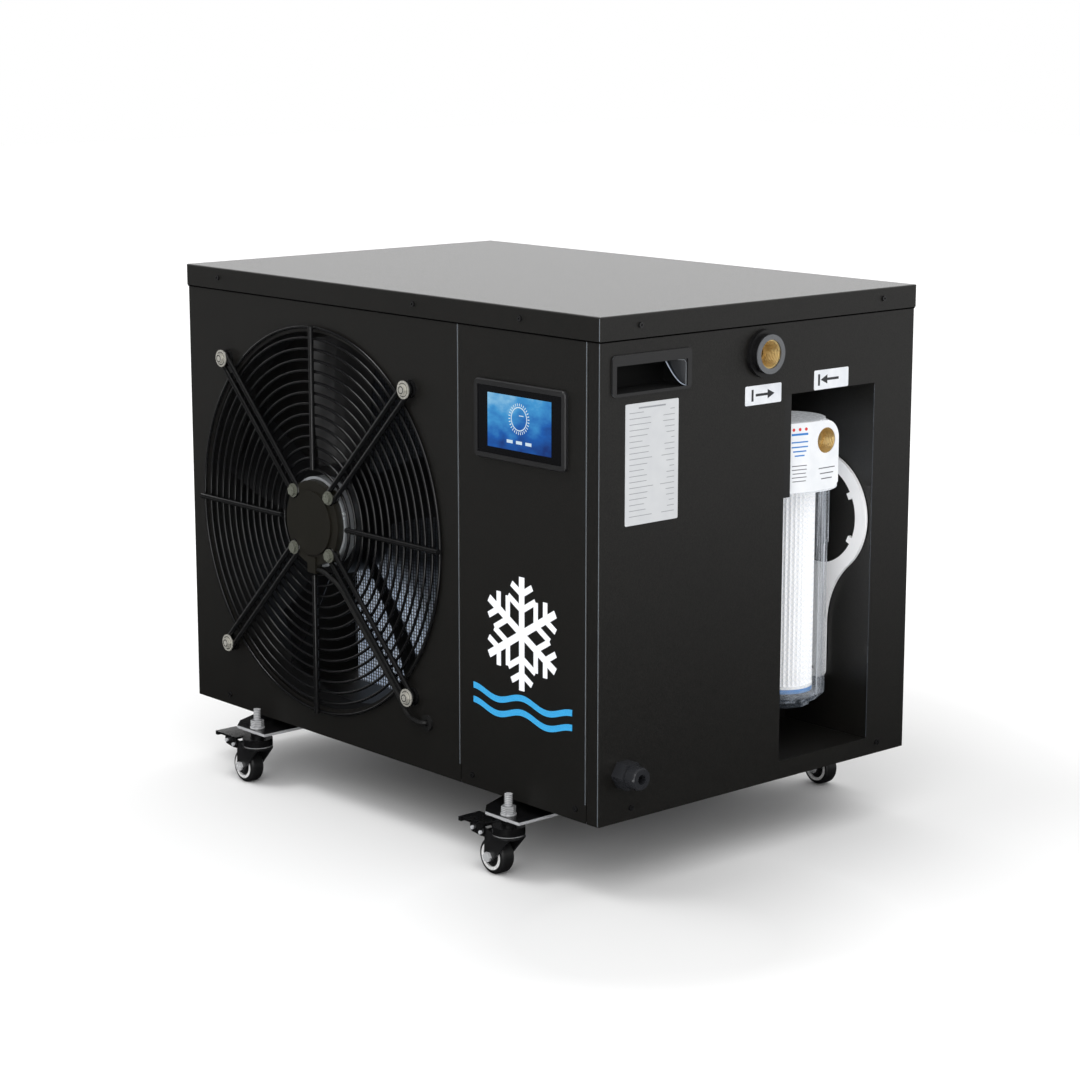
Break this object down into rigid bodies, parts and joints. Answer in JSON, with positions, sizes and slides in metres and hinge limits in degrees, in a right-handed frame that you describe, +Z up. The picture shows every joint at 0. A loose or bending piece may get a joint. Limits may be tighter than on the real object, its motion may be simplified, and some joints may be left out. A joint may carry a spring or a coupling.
{
  "type": "ice bath chiller",
  "caption": "Black steel ice bath chiller on swivel casters, with a guarded fan and touch screen in front, and a water filter in a side recess.",
  "frame": {"origin": "centre of the bounding box at floor level, below the cabinet's middle", "axes": "+X to the right along the front, -Y out of the front with the fan and screen, +Z up"},
  "size_m": [0.7188, 0.513, 0.575],
  "materials": {
    "black_coat": "fine-textured black powder coat",
    "zinc_steel": "bright zinc-plated steel",
    "rail_steel": "zinc-plated plate with bright cut edges",
    "condenser_fins": "thin fins over copper tubes",
    "guard_coat": "smooth black coating on wire",
    "stator_paint": "olive grey cast motor cover",
    "blade_coat": "satin black on sheet blades",
    "black_plastic": "moulded black plastic",
    "cable_rubber": "soft black sheath",
    "screen_glass": "dark glass over a lit display",
    "film_white": "printed film in white and blue",
    "brass": "turned brass",
    "copper": "drawn copper tube",
    "clear_grey": "clear grey housing plastic",
    "white_plastic": "moulded white plastic",
    "cartridge": "pleated white filter paper with blue end caps",
    "tyre": "hard black tread",
    "wheel_rim": "moulded wheel with a pale ring",
    "compressor_coat": "black compressor shell",
    "box_steel": "grey sheet steel"
  },
  "bodies": {
    "cabinet": {"base_pan": "black_coat", "caster_rails": "rail_steel", "lid": "black_coat", "fan_panel": "black_coat", "control_panel": "black_coat", "side_panel_right": "black_coat", "side_panel_left": "black_coat", "back_panel": "black_coat", "vent_grille": "black_coat", "recess_box": "black_coat", "divider_wall": "box_steel", "case_screws": "zinc_steel", "carry_handles": "black_plastic", "fan_guard": "guard_coat", "guard_arms": "guard_coat", "fan_bolts": "zinc_steel", "motor_stator": "stator_paint", "fan_cable": "cable_rubber", "cable_grommet": "cable_rubber", "condenser": "condenser_fins", "compressor": "compressor_coat", "evaporator": "zinc_steel", "water_pump": "black_plastic", "electric_box": "box_steel", "water_hoses": "cable_rubber", "copper_pipes": "copper", "screen_bezel": "black_plastic", "touch_screen": "screen_glass", "front_sign": "film_white", "outlet_fitting": "brass", "outlet_nut": "black_plastic", "filter_head": "clear_grey", "filter_port": "brass", "filter_bracket": "guard_coat", "filter_label": "white_plastic", "cable_gland": "black_plastic", "caster_studs": "zinc_steel"},
    "fan": {"fan_rotor": "zinc_steel", "fan_blades": "blade_coat"},
    "cartridge": {"filter_cartridge": "cartridge"},
    "bowl": {"filter_bowl": "clear_grey"},
    "wrench": {"filter_wrench": "white_plastic"},
    "caster_front_left": {"fork_front_left": "black_plastic", "axle_front_left": "zinc_steel"},
    "wheel_front_left": {"tyre_front_left": "tyre", "rim_front_left": "wheel_rim"},
    "caster_front_right": {"fork_front_right": "black_plastic", "axle_front_right": "zinc_steel"},
    "wheel_front_right": {"tyre_front_right": "tyre", "rim_front_right": "wheel_rim"},
    "caster_rear_left": {"fork_rear_left": "black_plastic", "axle_rear_left": "zinc_steel"},
    "wheel_rear_left": {"tyre_rear_left": "tyre", "rim_rear_left": "wheel_rim"},
    "caster_rear_right": {"fork_rear_right": "black_plastic", "axle_rear_right": "zinc_steel"},
    "wheel_rear_right": {"tyre_rear_right": "tyre", "rim_rear_right": "wheel_rim"},
    "brake_left": {"pedal_left": "black_plastic"},
    "brake_right": {"pedal_right": "black_plastic"}
  },
  "joints": [
    {"name": "fan_spin", "type": "hinge", "parent": "cabinet", "child": "fan", "pos_m": [-0.1181, -0.1938, 0.3135], "axis": [0, 1, 0], "continuous": true},
    {"name": "caster_swivel_front_left", "type": "hinge", "parent": "cabinet", "child": "caster_front_left", "pos_m": [-0.2176, -0.2395, 0.04], "axis": [0, 0, 1], "continuous": true},
    {"name": "wheel_spin_front_left", "type": "hinge", "parent": "caster_front_left", "child": "wheel_front_left", "pos_m": [-0.2356, -0.2395, 0.019], "axis": [0, 1, 0], "continuous": true},
    {"name": "caster_swivel_front_right", "type": "hinge", "parent": "cabinet", "child": "caster_front_right", "pos_m": [0.2154, -0.2395, 0.04], "axis": [0, 0, 1], "continuous": true},
    {"name": "wheel_spin_front_right", "type": "hinge", "parent": "caster_front_right", "child": "wheel_front_right", "pos_m": [0.1974, -0.2395, 0.019], "axis": [0, 1, 0], "continuous": true},
    {"name": "caster_swivel_rear_left", "type": "hinge", "parent": "cabinet", "child": "caster_rear_left", "pos_m": [-0.2176, 0.2395, 0.04], "axis": [0, 0, 1], "continuous": true},
    {"name": "wheel_spin_rear_left", "type": "hinge", "parent": "caster_rear_left", "child": "wheel_rear_left", "pos_m": [-0.2356, 0.2395, 0.019], "axis": [0, 1, 0], "continuous": true},
    {"name": "caster_swivel_rear_right", "type": "hinge", "parent": "cabinet", "child": "caster_rear_right", "pos_m": [0.2154, 0.2395, 0.04], "axis": [0, 0, 1], "continuous": true},
    {"name": "wheel_spin_rear_right", "type": "hinge", "parent": "caster_rear_right", "child": "wheel_rear_right", "pos_m": [0.1974, 0.2395, 0.019], "axis": [0, 1, 0], "continuous": true},
    {"name": "brake_pedal_left", "type": "hinge", "parent": "caster_front_left", "child": "brake_left", "pos_m": [-0.2439, -0.2395, 0.0433], "axis": [0, 1, 0], "range_deg": [-18, 0]},
    {"name": "brake_pedal_right", "type": "hinge", "parent": "caster_front_right", "child": "brake_right", "pos_m": [0.1891, -0.2395, 0.0433], "axis": [0, 1, 0], "range_deg": [-18, 0]},
    {"name": "filter_drop", "type": "slide", "parent": "cabinet", "child": "cartridge", "axis": [0, 0, -1], "range_m": [0, 0.025]},
    {"name": "bowl_unscrew", "type": "hinge", "parent": "cartridge", "child": "bowl", "pos_m": [0.2702, 0.0975, 0.225], "axis": [0, 0, 1], "range_deg": [0, 1801]},
    {"name": "wrench_pull", "type": "slide", "parent": "cabinet", "child": "wrench", "axis": [1, 0, 0], "range_m": [0, 0.15]}
  ],
  "couplings": [
    {"joint": "bowl_unscrew", "follows": "filter_drop", "rad_per_m": 1256.6}
  ]
}
